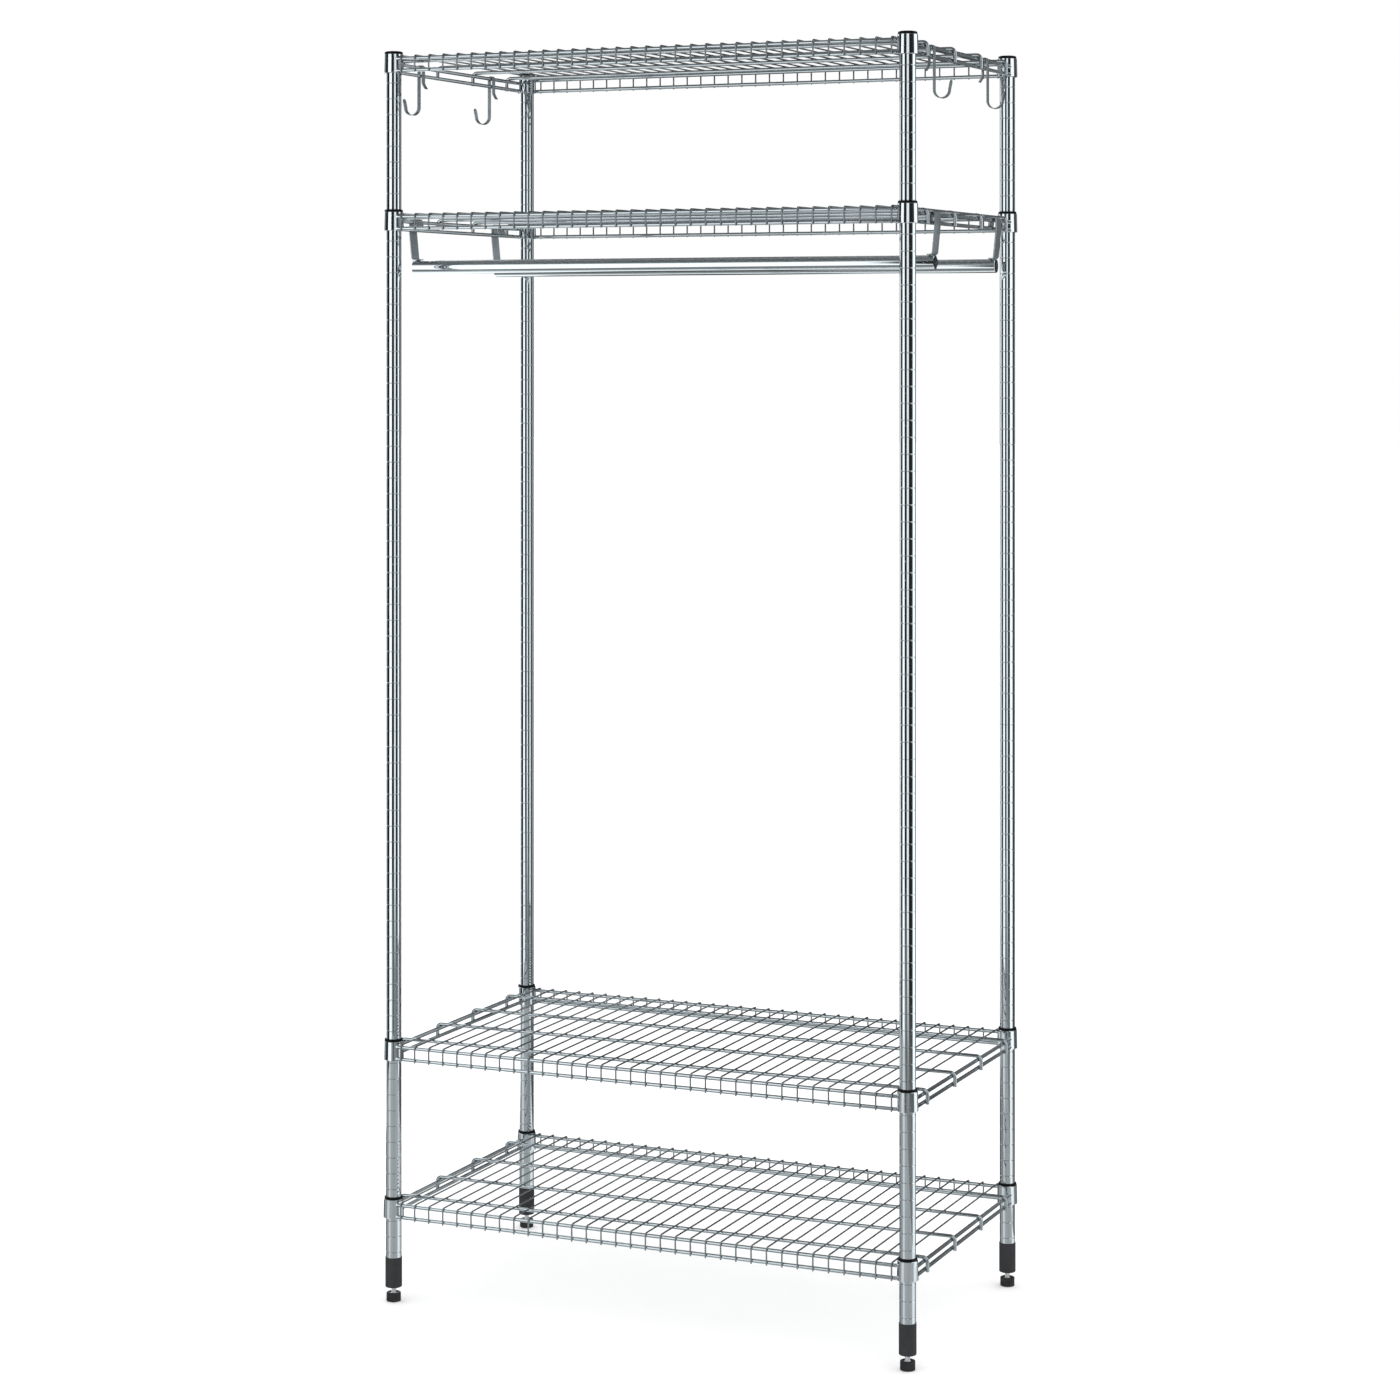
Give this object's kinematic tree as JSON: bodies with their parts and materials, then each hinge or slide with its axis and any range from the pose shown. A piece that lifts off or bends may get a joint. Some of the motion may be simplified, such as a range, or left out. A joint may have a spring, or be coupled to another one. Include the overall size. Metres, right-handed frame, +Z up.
{
  "type": "shelving unit with clothes rail",
  "caption": "Free-standing wire shelving unit: round ring-grooved posts carry low and high wire shelves with open hanging space between, clothes rails, coat hooks and levelling feet.",
  "frame": {"origin": "middle of the footprint, on the floor under the feet", "axes": "+X right along the shelves' long side, +Y back, +Z up"},
  "size_m": [0.961, 0.5104, 2.0125],
  "materials": {
    "plated_post": "bright, slightly brushed",
    "plated_wire": "bright",
    "plated_collar": "bright",
    "plated_rail": "bright",
    "plated_strip": "satin",
    "zinc_bolt": "bright",
    "black_plastic": "matte"
  },
  "bodies": {
    "unit": {"post_lower_front_left": "plated_post", "post_upper_front_left": "plated_post", "post_lower_front_right": "plated_post", "post_upper_front_right": "plated_post", "post_lower_back_left": "plated_post", "post_upper_back_left": "plated_post", "post_lower_back_right": "plated_post", "post_upper_back_right": "plated_post", "post_joint_studs": "zinc_bolt", "foot_inserts": "black_plastic", "foot_sleeves": "black_plastic", "end_caps": "black_plastic", "bottom_shelf_mat_wires": "plated_wire", "bottom_shelf_long_wires": "plated_wire", "bottom_shelf_edge_wires": "plated_wire", "bottom_shelf_collars": "plated_collar", "bottom_shelf_clips": "black_plastic", "second_shelf_mat_wires": "plated_wire", "second_shelf_long_wires": "plated_wire", "second_shelf_edge_wires": "plated_wire", "second_shelf_collars": "plated_collar", "second_shelf_clips": "black_plastic", "third_shelf_mat_wires": "plated_wire", "third_shelf_long_wires": "plated_wire", "third_shelf_edge_wires": "plated_wire", "third_shelf_collars": "plated_collar", "third_shelf_clips": "black_plastic", "top_shelf_mat_wires": "plated_wire", "top_shelf_long_wires": "plated_wire", "top_shelf_edge_wires": "plated_wire", "top_shelf_collars": "plated_collar", "top_shelf_clips": "black_plastic"},
    "front_rail": {"front_rail_tube": "plated_rail", "front_rail_arms": "plated_strip"},
    "back_rail": {"back_rail_tube": "plated_rail", "back_rail_arms": "plated_strip"},
    "hook_left_front": {"hook_left_front": "plated_strip"},
    "hook_left_back": {"hook_left_back": "plated_strip"},
    "hook_right_front": {"hook_right_front": "plated_strip"},
    "hook_right_back": {"hook_right_back": "plated_strip"},
    "foot_front_left": {"foot_pad_front_left": "black_plastic", "foot_bolt_front_left": "zinc_bolt"},
    "foot_front_right": {"foot_pad_front_right": "black_plastic", "foot_bolt_front_right": "zinc_bolt"},
    "foot_back_left": {"foot_pad_back_left": "black_plastic", "foot_bolt_back_left": "zinc_bolt"},
    "foot_back_right": {"foot_pad_back_right": "black_plastic", "foot_bolt_back_right": "zinc_bolt"}
  },
  "joints": [
    {"name": "front_rail_slide", "type": "slide", "parent": "unit", "child": "front_rail", "axis": [0, 1, 0], "range_m": [-0.026, 0.066]},
    {"name": "back_rail_slide", "type": "slide", "parent": "unit", "child": "back_rail", "axis": [0, 1, 0], "range_m": [-0.066, 0.026]},
    {"name": "hook_left_front_slide", "type": "slide", "parent": "unit", "child": "hook_left_front", "axis": [0, 1, 0], "range_m": [-0.049, 0.059]},
    {"name": "hook_left_back_slide", "type": "slide", "parent": "unit", "child": "hook_left_back", "axis": [0, 1, 0], "range_m": [-0.048, 0.06]},
    {"name": "hook_right_front_slide", "type": "slide", "parent": "unit", "child": "hook_right_front", "axis": [0, 1, 0], "range_m": [-0.027, 0.081]},
    {"name": "hook_right_back_slide", "type": "slide", "parent": "unit", "child": "hook_right_back", "axis": [0, 1, 0], "range_m": [-0.029, 0.079]},
    {"name": "foot_front_left_screw", "type": "slide", "parent": "unit", "child": "foot_front_left", "axis": [0, 0, 1], "range_m": [-0.015, 0.0085]},
    {"name": "foot_front_right_screw", "type": "slide", "parent": "unit", "child": "foot_front_right", "axis": [0, 0, 1], "range_m": [-0.015, 0.0085]},
    {"name": "foot_back_left_screw", "type": "slide", "parent": "unit", "child": "foot_back_left", "axis": [0, 0, 1], "range_m": [-0.015, 0.0085]},
    {"name": "foot_back_right_screw", "type": "slide", "parent": "unit", "child": "foot_back_right", "axis": [0, 0, 1], "range_m": [-0.015, 0.0085]}
  ]
}
